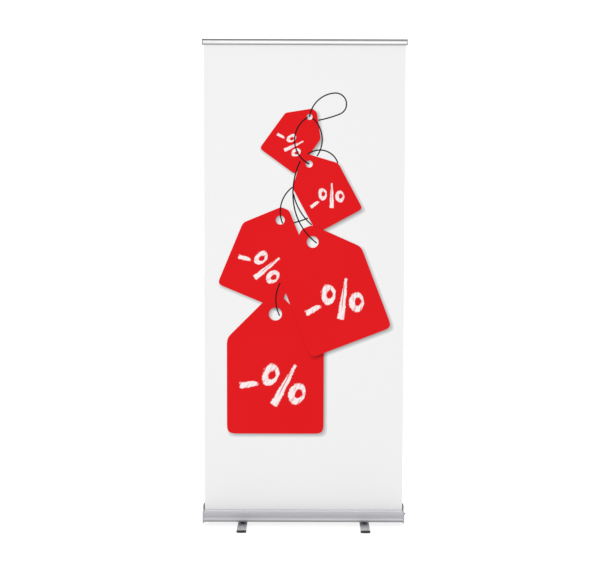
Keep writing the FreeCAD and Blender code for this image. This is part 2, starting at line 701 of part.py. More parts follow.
def save_pole():
    save("pole_socket", make_pole_socket())
    save("pole_lower", pole_tube(LOWER_TUBE))
    save("pole_middle", pole_tube(MIDDLE_TUBE))
    save("pole_upper", pole_tube(UPPER_TUBE))
    save("pole_bush_middle", pole_bush(MIDDLE_TUBE, LOWER_TUBE))
    save("pole_bush_upper", pole_bush(UPPER_TUBE, MIDDLE_TUBE))
    save("lock_collar_lower", lock_collar(LOWER_TUBE, MIDDLE_TUBE))
    save("lock_collar_upper", lock_collar(MIDDLE_TUBE, UPPER_TUBE))
    save("pole_hook", make_pole_hook())


def save_rail():
    save("rail_rear_jaw", make_rear_jaw())
    save("rail_front_jaw", make_front_jaw())
    save("rail_grip_strip", make_grip_strip())
    save("rail_cap_left", mirrored(make_rail_cap()))
    save("rail_cap_right", make_rail_cap())
    save("rail_cap_screws", rail_cap_screw(), mirrored(rail_cap_screw()))
    half = FILM_WIDTH / 2
    save("banner_film", block(-half, half, -FILM_THICK / 2, FILM_THICK / 2, ROLLER_Z, FILM_TOP))


def save_feet():
    for side, x in (("left", -FOOT_X), ("right", FOOT_X)):
        save("foot_bar_" + side, *moved_to(x, [make_foot_bar()]))
        save("foot_tips_" + side, *moved_to(x, both_ends([foot_tip()])))
        save("foot_pads_" + side, *moved_to(x, both_ends(foot_pads())))


os.makedirs("parts", exist_ok=True)
save_base()
save_roller()
save_pole()
save_rail()
save_feet()
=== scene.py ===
# %% [markdown]
# # A roll-up banner stand
#
# A printed film is pulled out of a long aluminium base and clipped to a pole behind it.
# The engineering model already fixes every size and every joint of the stand.
# This script gives it its looks: finishes for each part, the printed film, and the
# small moulded parts whose rounded shapes a plain engineering model lacks.

# %% Load the frame
import bmesh
import bpy
import json
import math
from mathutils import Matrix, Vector


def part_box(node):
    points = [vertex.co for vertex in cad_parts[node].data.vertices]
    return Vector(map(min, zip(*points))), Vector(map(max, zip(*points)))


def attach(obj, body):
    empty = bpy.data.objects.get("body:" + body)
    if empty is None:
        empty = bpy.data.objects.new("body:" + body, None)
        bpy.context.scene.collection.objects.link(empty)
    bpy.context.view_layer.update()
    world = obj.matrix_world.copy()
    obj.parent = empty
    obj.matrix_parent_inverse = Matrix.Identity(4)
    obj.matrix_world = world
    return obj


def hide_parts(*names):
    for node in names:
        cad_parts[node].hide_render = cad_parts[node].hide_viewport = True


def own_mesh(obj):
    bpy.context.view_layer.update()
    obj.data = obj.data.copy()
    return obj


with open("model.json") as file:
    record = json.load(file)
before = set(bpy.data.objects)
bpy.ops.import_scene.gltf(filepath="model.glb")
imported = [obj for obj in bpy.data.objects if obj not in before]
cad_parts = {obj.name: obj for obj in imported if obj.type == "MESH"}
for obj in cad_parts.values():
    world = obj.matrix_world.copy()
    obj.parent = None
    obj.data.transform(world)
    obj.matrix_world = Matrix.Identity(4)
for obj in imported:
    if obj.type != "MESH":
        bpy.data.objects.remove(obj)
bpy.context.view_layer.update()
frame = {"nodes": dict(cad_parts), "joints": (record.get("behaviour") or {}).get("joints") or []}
nodes = frame["nodes"]
MM = 0.001
print("CAD nodes:", len(nodes))


# %% [markdown]
# ## The camera
#
# The stand is two metres tall, so it is seen from far away with a long lens, which keeps
# its sides upright. The camera is six metres in front of the film, a little above the
# middle, and looks slightly down. A close camera with a wide lens would show more of
# the base's top, but it would also make the film a trapezium.

# %% Camera
CAMERA_PLACE = (-0.002, -6.0, 1.512)
CAMERA_PITCH = 4.53
CAMERA_ROLL = -0.17
CAMERA_LENS = 83.8

bpy.ops.object.camera_add(
    location=CAMERA_PLACE,
    rotation=(math.radians(90 - CAMERA_PITCH), math.radians(CAMERA_ROLL), 0),
)
camera = bpy.context.object
camera.data.lens = CAMERA_LENS
camera.data.sensor_width = 36
bpy.context.scene.camera = camera
print("camera lens", camera.data.lens, "mm")


# %% [markdown]
# ## Floor and light
#
# A white studio is a bright surround with a few large soft lamps. A surround that is
# the same all round gives metal nothing to reflect, and it looks flat. So this one is
# brightest behind the stand and falls off towards the front, and a few soft lamps add
# highlights along the extrusions. The floor is a light table: it glows by itself, so
# that the shadow under the base stays pale and the base's lower edge can be seen.

# %% Studio
FLOOR_SIZE = 30
FLOOR_TONE = (0.28, 0.28, 0.28, 1)
FLOOR_GLOW = 0.78
FLOOR_ROUGHNESS = 0.9
SURROUND_MEAN = 1.07
SURROUND_FALL = 0.3
# name: place, point that it faces, size, power
LAMPS = {
    "lamp_above": ((-1.0, -2.4, 3.8), (0, 0, 1.0), 2.6, 4),
    "lamp_left": ((-2.6, -3.4, 0.9), (0, 0, 0.1), 1.6, 9),
    "lamp_front": ((0.9, -5.4, 3.0), (0, 0, 1.2), 3.0, 24),
    "lamp_behind": ((2.2, 2.8, 3.0), (0, 0, 0.8), 2.4, 18),
}

bpy.context.scene.view_settings.view_transform = "Standard"
world = bpy.data.worlds.new("studio")
bpy.context.scene.world = world
world.use_nodes = True
surround = world.node_tree.nodes["Background"]
surround.inputs["Color"].default_value = (1, 1, 1, 1)
direction = world.node_tree.nodes.new("ShaderNodeTexCoord")
split = world.node_tree.nodes.new("ShaderNodeSeparateXYZ")
strength = world.node_tree.nodes.new("ShaderNodeMath")
strength.operation = "MULTIPLY_ADD"
strength.inputs[1].default_value = SURROUND_FALL
strength.inputs[2].default_value = SURROUND_MEAN
world.node_tree.links.new(direction.outputs["Generated"], split.inputs[0])
world.node_tree.links.new(split.outputs["Y"], strength.inputs[0])
world.node_tree.links.new(strength.outputs[0], surround.inputs["Strength"])

bpy.ops.mesh.primitive_plane_add(size=FLOOR_SIZE)
floor = bpy.context.object
floor.name = "studio_floor"
floor_paint = bpy.data.materials.new("studio_floor_paint")
floor_paint.use_nodes = True
paint = floor_paint.node_tree.nodes["Principled BSDF"].inputs
paint["Base Color"].default_value = FLOOR_TONE
paint["Roughness"].default_value = FLOOR_ROUGHNESS
paint["Emission Color"].default_value = (1, 1, 1, 1)
paint["Emission Strength"].default_value = FLOOR_GLOW
floor.data.materials.append(floor_paint)

for name, (place, target, size, power) in LAMPS.items():
    aim = (Vector(target) - Vector(place)).to_track_quat("-Z", "Y").to_euler()
    bpy.ops.object.light_add(type="AREA", location=place, rotation=aim)
    lamp = bpy.context.object
    lamp.name = name
    lamp.data.size = size
    lamp.data.energy = power
print("lamps:", len(LAMPS))


# %% [markdown]
# ## Writing a finish as sums
#
# A finish is a network of small nodes, and most of them only add or multiply. Drawing
# them by hand is slow and hard to read back. Here a `Wire` stands for one socket, and
# writing `1 - wire * 0.2` adds the Math nodes and their links. A `Finish` makes the
# material and holds one method, `node`, through which every other node comes.

# %% Wire and Finish
class Wire:
    """One output socket, which adds a Math node for each sum it takes part in."""

    def __init__(self, finish, socket):
        self.finish = finish
        self.socket = socket

    def math(self, operation, *others, clamp=False):
        settings = {"operation": operation, "use_clamp": clamp}
        return self.finish.node("ShaderNodeMath", settings, dict(enumerate((self, *others))))

    def __add__(self, other):
        return self.math("ADD", other)

    def __radd__(self, other):
        return self.math("ADD", other)

    def __sub__(self, other):
        return self.math("SUBTRACT", other)

    def __rsub__(self, other):
        return self.finish.node("ShaderNodeMath", {"operation": "SUBTRACT"}, {0: other, 1: self})

    def __mul__(self, other):
        return self.math("MULTIPLY", other)

    def __rmul__(self, other):
        return self.math("MULTIPLY", other)

    def __truediv__(self, other):
        return self.math("DIVIDE", other)

    def __abs__(self):
        return self.math("ABSOLUTE")


class Finish:
    """A material with one Principled shader, and the nodes that feed it."""

    def __init__(self, name, **uniform):
        self.material = bpy.data.materials.new(name)
        self.material.use_nodes = True
        self.tree = self.material.node_tree
        self.shader = self.tree.nodes["Principled BSDF"]
        for socket, value in uniform.items():
            self.shader.inputs[socket.replace("_", " ")].default_value = value

    def node(self, kind, settings=None, sockets=None, output=0):
        """Add a node, give it its settings, then its sockets' values or links."""
        made = self.tree.nodes.new(kind)
        settings = dict(settings or {})
        for place, colour in settings.pop("stops", []):
            ramp = made.color_ramp.elements
            stop = ramp[0] if place == 0 else ramp[-1] if place == 1 else ramp.new(place)
            stop.color = colour
        for name, value in settings.items():
            setattr(made, name, value)
        for key, value in (sockets or {}).items():
            if isinstance(value, Wire):
                self.tree.links.new(value.socket, made.inputs[key])
            else:
                made.inputs[key].default_value = value
        return Wire(self, made.outputs[output])

    def feed(self, socket, wire):
        """Link a wire to one of the shader's own sockets."""
        self.tree.links.new(wire.socket, self.shader.inputs[socket])

    def place(self):
        """Where a point is on the object, in metres."""
        return self.node("ShaderNodeTexCoord", output="Object")

    def mix(self, share, a, b):
        """A colour between a and b."""
        settings = {"data_type": "RGBA"}
        return self.node("ShaderNodeMix", settings, {0: share, 6: a, 7: b}, output=2)

    def noise(self, place, scale, detail=2.0, stretch=(1, 1, 1)):
        """Smooth noise between 0 and 1, drawn out along an axis by a small stretch."""
        spot = self.node("ShaderNodeMapping", {}, {"Vector": place, "Scale": stretch})
        sockets = {"Vector": spot, "Scale": scale, "Detail": detail}
        return self.node("ShaderNodeTexNoise", {}, sockets)

    def bump(self, height, depth, strength=1.0):
        """Relief of that depth, in metres."""
        sockets = {"Height": height, "Distance": depth, "Strength": strength}
        self.feed("Normal", self.node("ShaderNodeBump", {}, sockets))


def colour(red, green, blue):
    """A screen colour from 0 to 255 as the linear values that a shader takes."""
    parts = [value / 255 for value in (red, green, blue)]
    linear = [p / 12.92 if p <= 0.04045 else ((p + 0.055) / 1.055) ** 2.4 for p in parts]
    return (*linear, 1.0)


print("mid grey is", round(colour(128, 128, 128)[0], 3), "in linear light")


# %% [markdown]
# ## Aluminium
#
# An extrusion is pushed through a die, which leaves long fine lines, and anodising
# turns its shine into a soft satin. The lines are noise that is drawn out along the
# part and fine across it. They change the colour a little, the roughness more, and
# stand up as a relief of about ten microns, so that highlights break along them.
#
# Light and shade are painted into the colour as well: a ramp over the height makes the
# faces that catch the light bright and the faces that would lie in shade dark.

# %% Extruded aluminium
LINE_SCALE = 1700
ALONG = 0.004
LINE_RELIEF = 0.012 * MM
LINE_DARK = 0.72
LINE_SHARE = 1.5
CLOUD_SHARE = 0.4
SHARE_SHIFT = -0.25
CLOUD_SCALE = 7
LINE_GLOSS = 0.14
RAW_GLOSS = 0.4
RAW_EDGE = 3 * MM


def aluminium(name, along, tone, roughness, bands=(), raw_below=None):
    """Satin aluminium with die lines along one axis.

    Bands paint light and shade into the colour, brighter or darker up the part, and below a height
    it can be raw and matt.
    """
    finish = Finish(name, Metallic=1.0)
    place = finish.place()
    stretch = [1.0, 1.0, 1.0]
    stretch["XYZ".index(along)] = ALONG
    lines = finish.noise(place, LINE_SCALE, 3.0, stretch)
    cloud = finish.noise(place, CLOUD_SCALE, 2.0)
    dark = tuple(LINE_DARK * part for part in tone[:3]) + (1.0,)
    share = (LINE_SHARE * lines + CLOUD_SHARE * cloud).math("ADD", SHARE_SHIFT, clamp=True)
    metal = finish.mix(share, dark, tone)
    # the bands paint light and shade into the colour, by height
    if bands:
        metal = paint_shade_by_height(finish, place, metal, bands)
    finish.feed("Base Color", metal)
    gloss = roughness - 0.06 + LINE_GLOSS * lines
    if raw_below:
        height = finish.node("ShaderNodeSeparateXYZ", {}, {0: place}, output="Z")
        shine = ((height - raw_below * MM) / RAW_EDGE).math("MULTIPLY", 1.0, clamp=True)
        finish.feed("Metallic", shine)
        gloss = gloss + RAW_GLOSS * (1 - shine)
    finish.feed("Roughness", gloss)
    finish.bump(lines, LINE_RELIEF)
    return finish


def paint_shade_by_height(finish, place, metal, bands):
    """Scale a colour by a share that is given at some heights, in millimetres, which paints light
    and shade.
    """
    low, high = bands[0][0], bands[-1][0]
    height = finish.node("ShaderNodeSeparateXYZ", {}, {0: place}, output="Z")
    share = (height - low * MM) / ((high - low) * MM)
    stops = [((z - low) / (high - low), (level, level, level, 1)) for z, level in bands]
    level = finish.node("ShaderNodeValToRGB", {"stops": stops}, {0: share})
    return finish.node("ShaderNodeVectorMath", {"operation": "MULTIPLY"}, {0: metal, 1: level})


# height in millimetres and the share of the metal's tone there, painted light and shade: a lit top,
# darker hollows and a dark lower edge
HOUSING_PAINTED_SHADING = (
    (14, 0.24),
    (23, 0.38),
    (27, 0.5),
    (28.4, 0.7),
    (32, 0.6),
    (37, 0.49),
    (50, 0.57),
    (59.4, 0.59),
    (60.4, 1.0),
)
# the rail's bands are painted light and shade: a bright band where the front jaw catches the light,
# dark above and below it, and the rear jaw's top painted dark as in shade
JAW_PAINTED_SHADING = ((2042, 0.32), (2046, 0.42), (2051, 0.92), (2059, 0.98), (2060.5, 0.42), (2064, 0.42))
REAR_JAW_PAINTED_SHADING = ((2042, 0.6), (2061, 0.42), (2066, 0.32), (2068, 0.4))
HOUSING_RAW = 18

housing_tone = colour(250, 250, 255)
anodised = aluminium("satin_housing", "X", housing_tone, 0.36, HOUSING_PAINTED_SHADING, HOUSING_RAW)
foot_metal = aluminium("satin_foot_bar", "Y", colour(228, 229, 233), 0.42)
rail_metal = aluminium("satin_rail", "X", colour(250, 250, 252), 0.3, JAW_PAINTED_SHADING)
# the rear jaw is the rail's aluminium painted darker, as if in shade
rear_jaw_shaded_metal = aluminium("satin_rail_rear_painted_shade", "X", colour(235, 236, 240), 0.34, REAR_JAW_PAINTED_SHADING)
pole_metal = aluminium("satin_pole", "Z", colour(212, 213, 216), 0.26)
print("aluminium finishes made")


# %% [markdown]
# ## Plastic and rubber
#
# Injection moulds are spark-eroded, so a moulded part has a fine pebbled grain and no
# mirror shine. Two layers of noise do this: a fine one for the grain's relief and a
# slow one for the slight change of colour and gloss that handling leaves.

# %% Moulded plastic
GRAIN_SCALE = 1400
GRAIN_RELIEF = 0.06 * MM
GRAIN_TINT = 0.2
GRAIN_GLOSS = 0.1
HANDLING_SCALE = 22
HANDLING_TINT = 0.5
HANDLING_GLOSS = 0.12


def plastic(name, tone, roughness, grain=GRAIN_SCALE, relief=GRAIN_RELIEF):
    """Moulded plastic with a spark-eroded grain."""
    finish = Finish(name, IOR=1.46)
    place = finish.place()
    pebbles = finish.noise(place, grain, 1.0)
    handling = finish.noise(place, HANDLING_SCALE, 3.0)
    light = tuple(min(1.0, 1.25 * part + 0.012) for part in tone[:3]) + (1.0,)
    tint = GRAIN_TINT * pebbles + HANDLING_TINT * handling
    finish.feed("Base Color", finish.mix(tint, tone, light))
    gloss = roughness - 0.08 + GRAIN_GLOSS * pebbles + HANDLING_GLOSS * handling
    finish.feed("Roughness", gloss)
    finish.bump(pebbles, relief)
    return finish


grey_plastic = plastic("grained_grey", colour(158, 159, 163), 0.46)
dark_plastic = plastic("grained_dark_grey", colour(104, 105, 109), 0.46)
black_plastic = plastic("grained_black", colour(19, 19, 21), 0.42)
white_plastic = plastic("grained_white", colour(226, 225, 219), 0.38)
rubber = plastic("matt_rubber", colour(24, 24, 24), 0.82, grain=900, relief=2 * GRAIN_RELIEF)
print("plastic finishes made")


# %% [markdown]
# ## Plated and spring steel
#
# Screws, bolts and the roller's shaft are zinc plated. Zinc dries in small patches that
# catch the light differently, which cells of a Voronoi texture give. Spring wire is
# drawn and oil-tempered, so it is darker, with lines round the coil's axis.

# %% Steel
ZINC_CELLS = 900
HAZE_SCALE = 120
HAZE_RELIEF = 0.03 * MM
DRAWN_SCALE = 600
DRAWN_RELIEF = 0.02 * MM
OIL_SCALE = 60


def zinc(name):
    """Zinc-plated steel with a faint patchy bloom."""
    finish = Finish(name, Metallic=1.0)
    place = finish.place()
    sockets = {"Vector": place, "Scale": ZINC_CELLS}
    cells = finish.node("ShaderNodeTexVoronoi", {"feature": "F1"}, sockets, output="Color")
    patch = finish.node("ShaderNodeSeparateXYZ", {}, {0: cells})
    haze = finish.noise(place, HAZE_SCALE, 3.0)
    finish.feed("Base Color", finish.mix(patch, colour(150, 152, 155), colour(182, 182, 178)))
    finish.feed("Roughness", 0.2 + 0.08 * patch + 0.1 * haze)
    finish.bump(haze, HAZE_RELIEF)
    return finish


def tempered(name):
    """Dark oil-tempered wire."""
    finish = Finish(name, Metallic=1.0)
    place = finish.place()
    drawn = finish.noise(place, DRAWN_SCALE, 2.0, (0.1, 1, 1))
    oil = finish.noise(place, OIL_SCALE, 2.0)
    finish.feed("Base Color", finish.mix(oil, colour(96, 94, 96), colour(134, 126, 112)))
    finish.feed("Roughness", 0.28 + 0.2 * drawn)
    finish.bump(drawn, DRAWN_RELIEF)
    return finish


zinc_steel = zinc("plated_steel")
spring_steel = tempered("tempered_wire")
print("steel finishes made")


# %% [markdown]
# ## The printed film
#
# The film is a polyester sheet with a matt white face. Its print is a bunch of five red
# price tags on thin dark strings. A print could be an image, but here it is worked out
# from shapes: each tag is a set of straight edges, and the distance from a point to
# the nearest edge says whether the point is inside. A distance also gives a clean
# edge, rounded corners and a soft shadow, at any size, with no image at all.
#
# All tags share one shape. It is written once, in units of half a tag's width, with
# the hole at its origin, and a Mapping node places, turns and sizes it for each tag.

# %% The tag's shape
TAG_TOP = 0.37
TAG_BOTTOM = 2.49
TAG_SHOULDER = 0.5
TAG_HOLE = 0.133
CORNER_BLEND = 0.24
PRINT_EDGE = 0.7 * MM
SHADOW_SHIFT = 8 * MM
SHADOW_SOFT = 20 * MM
SHADOW_DEPTH = 0.62


def tag_place(finish, place, tag, shift=0.0):
    """The point in the tag's own units, with the hole at the origin."""
    x, z, turn, half = tag
    sockets = {
        "Vector": place,
        "Location": (x * MM + shift, 0, z * MM - shift),
        "Rotation": (0, math.radians(turn), 0),
        "Scale": (half * MM, 1, half * MM),
    }
    return finish.node("ShaderNodeMapping", {"vector_type": "TEXTURE"}, sockets)


def flatten(finish, local):
    """The same point with no depth, so that the film's thickness doesn't count."""
    vector = {"operation": "MULTIPLY"}
    return finish.node("ShaderNodeVectorMath", vector, {0: local, 1: (1, 0, 1)})


def tag_distance(finish, local):
    """How far a point is outside the tag's edge. It is negative inside."""
    across = abs(finish.node("ShaderNodeSeparateXYZ", {}, {0: local}, output="X"))
    up = finish.node("ShaderNodeSeparateXYZ", {}, {0: local}, output="Z")
    foot = (across - 1).math("SMOOTH_MAX", -TAG_BOTTOM - up, CORNER_BLEND)
    slope = (across + up - TAG_SHOULDER) * math.sqrt(0.5)
    head = slope.math("SMOOTH_MAX", up - TAG_TOP, CORNER_BLEND / 3)
    body = foot.math("SMOOTH_MAX", head, CORNER_BLEND / 2)
    length = {"operation": "LENGTH"}
    middle = finish.node("ShaderNodeVectorMath", length, {0: local}, output="Value")
    return body.math("MAXIMUM", TAG_HOLE - middle)


def inside(distance, softness):
    """1 inside an edge and 0 outside it, with an edge of that softness."""
    return distance.math("MULTIPLY_ADD", -1 / softness, 0.5, clamp=True)


print("a tag is", round(TAG_TOP + TAG_BOTTOM, 2), "half widths tall")


# %% [markdown]
# Strings hang in gentle bows. Each bow is an arc through three points, as a draughtsman
# would draw it with compasses, and what belongs to the arc lies between the two spokes
# from the circle's centre to its ends. Long strings are several arcs in a row, which
# meet at a common spoke and overlap there a little.

# %% A string's shape
STRING_WIDTH = 5.6 * MM
STRING_OVERLAP = 0.5 * MM


def circle_through(a, b, c):
    """The centre and the radius of the circle through three points."""
    d = 2 * (a[0] * (b[1] - c[1]) + b[0] * (c[1] - a[1]) + c[0] * (a[1] - b[1]))
    squares = [x * x + z * z for x, z in (a, b, c)]
    x = squares[0] * (b[1] - c[1]) + squares[1] * (c[1] - a[1]) + squares[2] * (a[1] - b[1])
    z = squares[0] * (c[0] - b[0]) + squares[1] * (a[0] - c[0]) + squares[2] * (b[0] - a[0])
    centre = (x / d, z / d)
    return centre, math.dist(centre, a)


def arc_distance(finish, flat, a, b, c):
    """How far a point is outside the string's edge, along the arc from a over b to c."""
    centre, radius = circle_through(a, b, c)
    reach = {"operation": "DISTANCE"}
    sockets = {0: flat, 1: (centre[0], 0, centre[1])}
    away = finish.node("ShaderNodeVectorMath", reach, sockets, output="Value")
    ring = abs(away - radius) - STRING_WIDTH / 2
    along = (c[0] - a[0], c[1] - a[1])
    length = math.hypot(*along)
    side = (-along[1] / length, along[0] / length)
    if side[0] * (b[0] - a[0]) + side[1] * (b[1] - a[1]) < 0:
        side = (-side[0], -side[1])
    dot = {"operation": "DOT_PRODUCT"}
    sockets = {0: flat, 1: (side[0], 0, side[1])}
    height = finish.node("ShaderNodeVectorMath", dot, sockets, output="Value")
    base = side[0] * centre[0] + side[1] * centre[1]
    share = (side[0] * a[0] + side[1] * a[1] - base) / radius
    past_end = (away * share - height + base) / math.sqrt(1 - share**2)
    return ring.math("MAXIMUM", past_end - STRING_OVERLAP)


print("three points fix a circle:", circle_through((0, 1), (1, 0), (0, -1)))


# %% [markdown]
# The mark on each tag is a minus and a per cent sign, written with a broad dry brush.
# It is made of two slanted rings and two strokes that grow thinner along their way.
# Noise pushes the outline about, and noise drawn out along the brush's path leaves
# streaks of bare red where the brush ran dry.

# %% The brushed mark
MARK_HEIGHT = -1.47
BRUSH = 0.052
# middle, turn, half length, half width and taper, in a tag's own units
STROKES = (
    ((-0.54, MARK_HEIGHT + 0.01), 6, 0.19, 0.05, 0.06),
    ((0.19, MARK_HEIGHT), 61, 0.48, 0.055, 0.05),
)
RINGS = ((-0.08, MARK_HEIGHT + 0.2), (0.47, MARK_HEIGHT - 0.19))
RING_RADIUS = 0.14
RING_SHAPE = (0.86, 1, 1.2)
RING_TURN = 24
RING_SWELL = 0.16
STREAK_SIZE = (0.42, 1, 0.05)
# scale, detail and size of the noises that push the outline about
RAGGED = ((5, 1.0, 0.07), (26, 2.0, 0.05))
MARK_SWELL = 0.06
MARK_EDGE = 0.02
DRY_GAIN = 9.0
DRY_SHIFT = -3.1
DRY_LEAST = 0.12


def stroke(finish, local, middle, turn, half_length, half_width, taper):
    """How far a point is outside a straight brush stroke."""
    dot = {"operation": "DOT_PRODUCT"}
    run = (math.cos(math.radians(turn)), math.sin(math.radians(turn)))
    cross = (-run[1], run[0])
    along, aside = (
        finish.node("ShaderNodeVectorMath", dot, {0: local, 1: (x, 0, z)}, output="Value")
        - (x * middle[0] + z * middle[1])
        for x, z in (run, cross)
    )
    side = abs(aside) - half_width + taper * along
    return (abs(along) - half_length).math("SMOOTH_MAX", side, half_width)


def brushed_ring(finish, local, centre):
    """How far a point is outside a slanted ring, which is thicker on one side."""
    sockets = {
        "Vector": local,
        "Location": (centre[0], 0, centre[1]),
        "Rotation": (0, math.radians(RING_TURN), 0),
        "Scale": RING_SHAPE,
    }
    spot = finish.node("ShaderNodeMapping", {"vector_type": "TEXTURE"}, sockets)
    reach = finish.node("ShaderNodeVectorMath", {"operation": "LENGTH"}, {0: spot}, output="Value")
    across = finish.node("ShaderNodeSeparateXYZ", {}, {0: spot})
    return abs(reach - RING_RADIUS) - BRUSH + RING_SWELL * across


def brushed_mark(finish, local):
    """1 where the brush left paint, in a tag's own units."""
    distance = stroke(finish, local, *STROKES[0])
    distance = distance.math("MINIMUM", stroke(finish, local, *STROKES[1]))
    for centre in RINGS:
        distance = distance.math("MINIMUM", brushed_ring(finish, local, centre))
    coarse, fine = (size * finish.noise(local, scale, detail) for scale, detail, size in RAGGED)
    turn = math.radians(-STROKES[1][1])
    sockets = {"Vector": local, "Rotation": (0, turn, 0), "Scale": STREAK_SIZE}
    path = finish.node("ShaderNodeMapping", {"vector_type": "TEXTURE"}, sockets)
    streak = finish.node("ShaderNodeTexNoise", {}, {"Vector": path, "Scale": 1.0, "Detail": 3.0})
    dry = streak.math("MULTIPLY_ADD", DRY_GAIN, DRY_SHIFT, clamp=True)
    paint = DRY_LEAST + (1 - DRY_LEAST) * dry
    return inside(distance + (coarse + fine) - MARK_SWELL, MARK_EDGE) * paint


# %% [markdown]
# The print is laid down from back to front, as paper tags would be. Four things are
# carried along: how red a point is, how much of a string it shows, how much light the
# shadows leave it, and where it is on the uppermost tag, which places the mark.

# %% Laying the print
# hole across and up, turn clockwise, half width: millimetres and degrees
TAGS = {
    "top": (21, 1743, 36.0, 93),
    "second": (20, 1545, -28.5, 110),
    "left": (-102, 1308, 22.6, 142),
    "right": (36, 1215.5, -21.1, 185),
    "bottom": (-122, 908, 0.0, 207),
}
# arcs, each from its start over its middle to its end, in millimetres
STRINGS = {
    "loop": (((127, 1843), (160, 1832), (176, 1802)), ((176, 1802), (170, 1774), (148, 1755))),
    "loop_end": (((148, 1755), (104, 1740), (58, 1729)),),
    "loop_start": (((21, 1743), (58, 1814), (127, 1843)),),
    "top_right": (((34, 1738), (72, 1672), (53, 1579)),),
    "over_second": (((14, 1586), (69, 1604), (141, 1549)),),
    "top_left": (((13, 1741), (-42, 1646), (20, 1545)),),
    "left_string": (((-51, 1447), (-97, 1380), (-92, 1294)),),
    "bottom_string": (((-102, 1040), (-120, 960), (-104, 901)),),
    "long": (((-18, 1557), (-45, 1470), (-44, 1370)), ((-44, 1370), (-11, 1281), (53, 1211))),
    "long_two": (((-46, 1419), (-14, 1340), (31, 1288)),),
    "cross": (((-45, 1297), (-16, 1305), (15, 1317)),),
}
LAYERS = ("loop", "loop_end", "top", "loop_start", "top_right", "over_second", "second", "top_left")
LAYERS += ("left", "left_string", "bottom", "bottom_string", "right", "long", "long_two", "cross")
FILM_WHITE = colour(233, 233, 233)
TAG_RED = colour(216, 14, 20)
TAG_RED_WORN = colour(220, 26, 31)
MARK_WHITE = colour(240, 230, 230)
STRING_TONE = colour(16, 14, 20)
WEAVE_SCALE = 1500
WEAVE_SHADE = 0.015
WEAVE_RELIEF = 0.01 * MM
INK_SCALE = 3.0


def lay_tag(finish, place, tag, state):
    """Lay a tag and its shadow over what is there."""
    half = tag[3] * MM
    shadow = tag_distance(finish, flatten(finish, tag_place(finish, place, tag, SHADOW_SHIFT)))
    state["light"] = state["light"] * (1 - SHADOW_DEPTH * inside(shadow, SHADOW_SOFT / half))
    local = flatten(finish, tag_place(finish, place, tag))
    cover = inside(tag_distance(finish, local), PRINT_EDGE / half)
    bare = 1 - cover
    state["light"] = state["light"] * bare + cover
    state["red"] = state["red"] * bare + cover
    state["string"] = state["string"] * bare
    settings = {"data_type": "VECTOR"}
    upper = cover.math("GREATER_THAN", 0.5)
    sockets = {0: upper, 4: state["local"], 5: local}
    state["local"] = finish.node("ShaderNodeMix", settings, sockets, output=1)


def lay_string(finish, flat, arcs, state):
    """Lay a string over what is there."""
    for points in arcs:
        ends = [(x * MM, z * MM) for x, z in points]
        cover = inside(arc_distance(finish, flat, *ends), PRINT_EDGE)
        state["string"] = state["string"].math("MAXIMUM", cover)


def printed_film(name):
    """Matt white polyester film with the print on its face."""
    finish = Finish(name, Specular_IOR_Level=0.08)
    place = finish.place()
    flat = flatten(finish, place)
    nothing = 0 * finish.node("ShaderNodeSeparateXYZ", {}, {0: flat})
    state = {"red": nothing, "string": nothing, "light": nothing + 1, "local": flat}
    for layer in LAYERS:
        if layer in TAGS:
            lay_tag(finish, place, TAGS[layer], state)
        else:
            lay_string(finish, flat, STRINGS[layer], state)
    weave = finish.noise(place, WEAVE_SCALE, 2.0)
    ink = finish.noise(place, INK_SCALE, 2.0)
    mark = brushed_mark(finish, state["local"]) * state["red"]
    red = finish.mix(0.5 * ink, TAG_RED, TAG_RED_WORN)
    tone = finish.mix(state["red"], FILM_WHITE, red)
    tone = finish.mix(mark, tone, MARK_WHITE)
    tone = finish.mix(state["string"], tone, STRING_TONE)
    shade = (1 - state["light"]).math("MAXIMUM", WEAVE_SHADE * weave)
    finish.feed("Base Color", finish.mix(shade, tone, (0, 0, 0, 1)))
    finish.feed("Roughness", 0.55 + 0.1 * weave - 0.08 * state["red"])
    finish.bump(weave, WEAVE_RELIEF)
    return finish


film_face = printed_film("banner_film_print")
print("nodes in the print:", len(film_face.tree.nodes))


# %% [markdown]
# The film's back is coated grey, so that light from behind doesn't shine through the
# print. It has no print, only the faint cross lines of the coating roller.

# %% The film's back
COAT_SCALE = 380
COAT_RELIEF = 0.01 * MM


def film_coating(name, tone):
    """A light-stopping grey coat, with faint lines across the film."""
    finish = Finish(name, IOR=1.4)
    place = finish.place()
    coat = finish.noise(place, COAT_SCALE, 2.0, (0.03, 1, 1))
    cloud = finish.noise(place, 4, 2.0)
    light = tuple(min(1.0, 1.12 * part) for part in tone[:3]) + (1.0,)
    finish.feed("Base Color", finish.mix(0.6 * coat + 0.4 * cloud, tone, light))
    finish.feed("Roughness", 0.5 + 0.14 * coat)
    finish.bump(coat, COAT_RELIEF)
    return finish


film_back = film_coating("banner_film_back", colour(196, 198, 201))
film_wound = film_coating("banner_roll_film", colour(214, 215, 217))
print("film coatings made")


# %% [markdown]
# ## Finishes for the engineering parts
#
# Where the engineering model's shape is right, the part stays and only gets its
# finish. Each node comes with a plain material named after its slot, so the finishes
# are handed out by that name, and a few nodes get one of their own.

# %% Hand out the finishes
BY_SLOT = {
    "anodised_aluminium": anodised,
    "rail_aluminium": rail_metal,
    "pole_aluminium": pole_metal,
    "grey_plastic": grey_plastic,
    "black_plastic": black_plastic,
    "white_plastic": white_plastic,
    "black_rubber": rubber,
    "zinc_steel": zinc_steel,
    "spring_steel": spring_steel,
    "banner_film": film_wound,
}
OWN_FINISH = {
    "foot_bar_left": foot_metal,
    "foot_bar_right": foot_metal,
    "roller_tube": foot_metal,
    "rail_rear_jaw": rear_jaw_shaded_metal,
    "rail_cap_left": dark_plastic,
    "rail_cap_right": dark_plastic,
}

for name, node in nodes.items():
    for place in node.material_slots:
        place.material = OWN_FINISH.get(name, BY_SLOT[place.material.name]).material
print("finishes handed out to", len(nodes), "nodes")
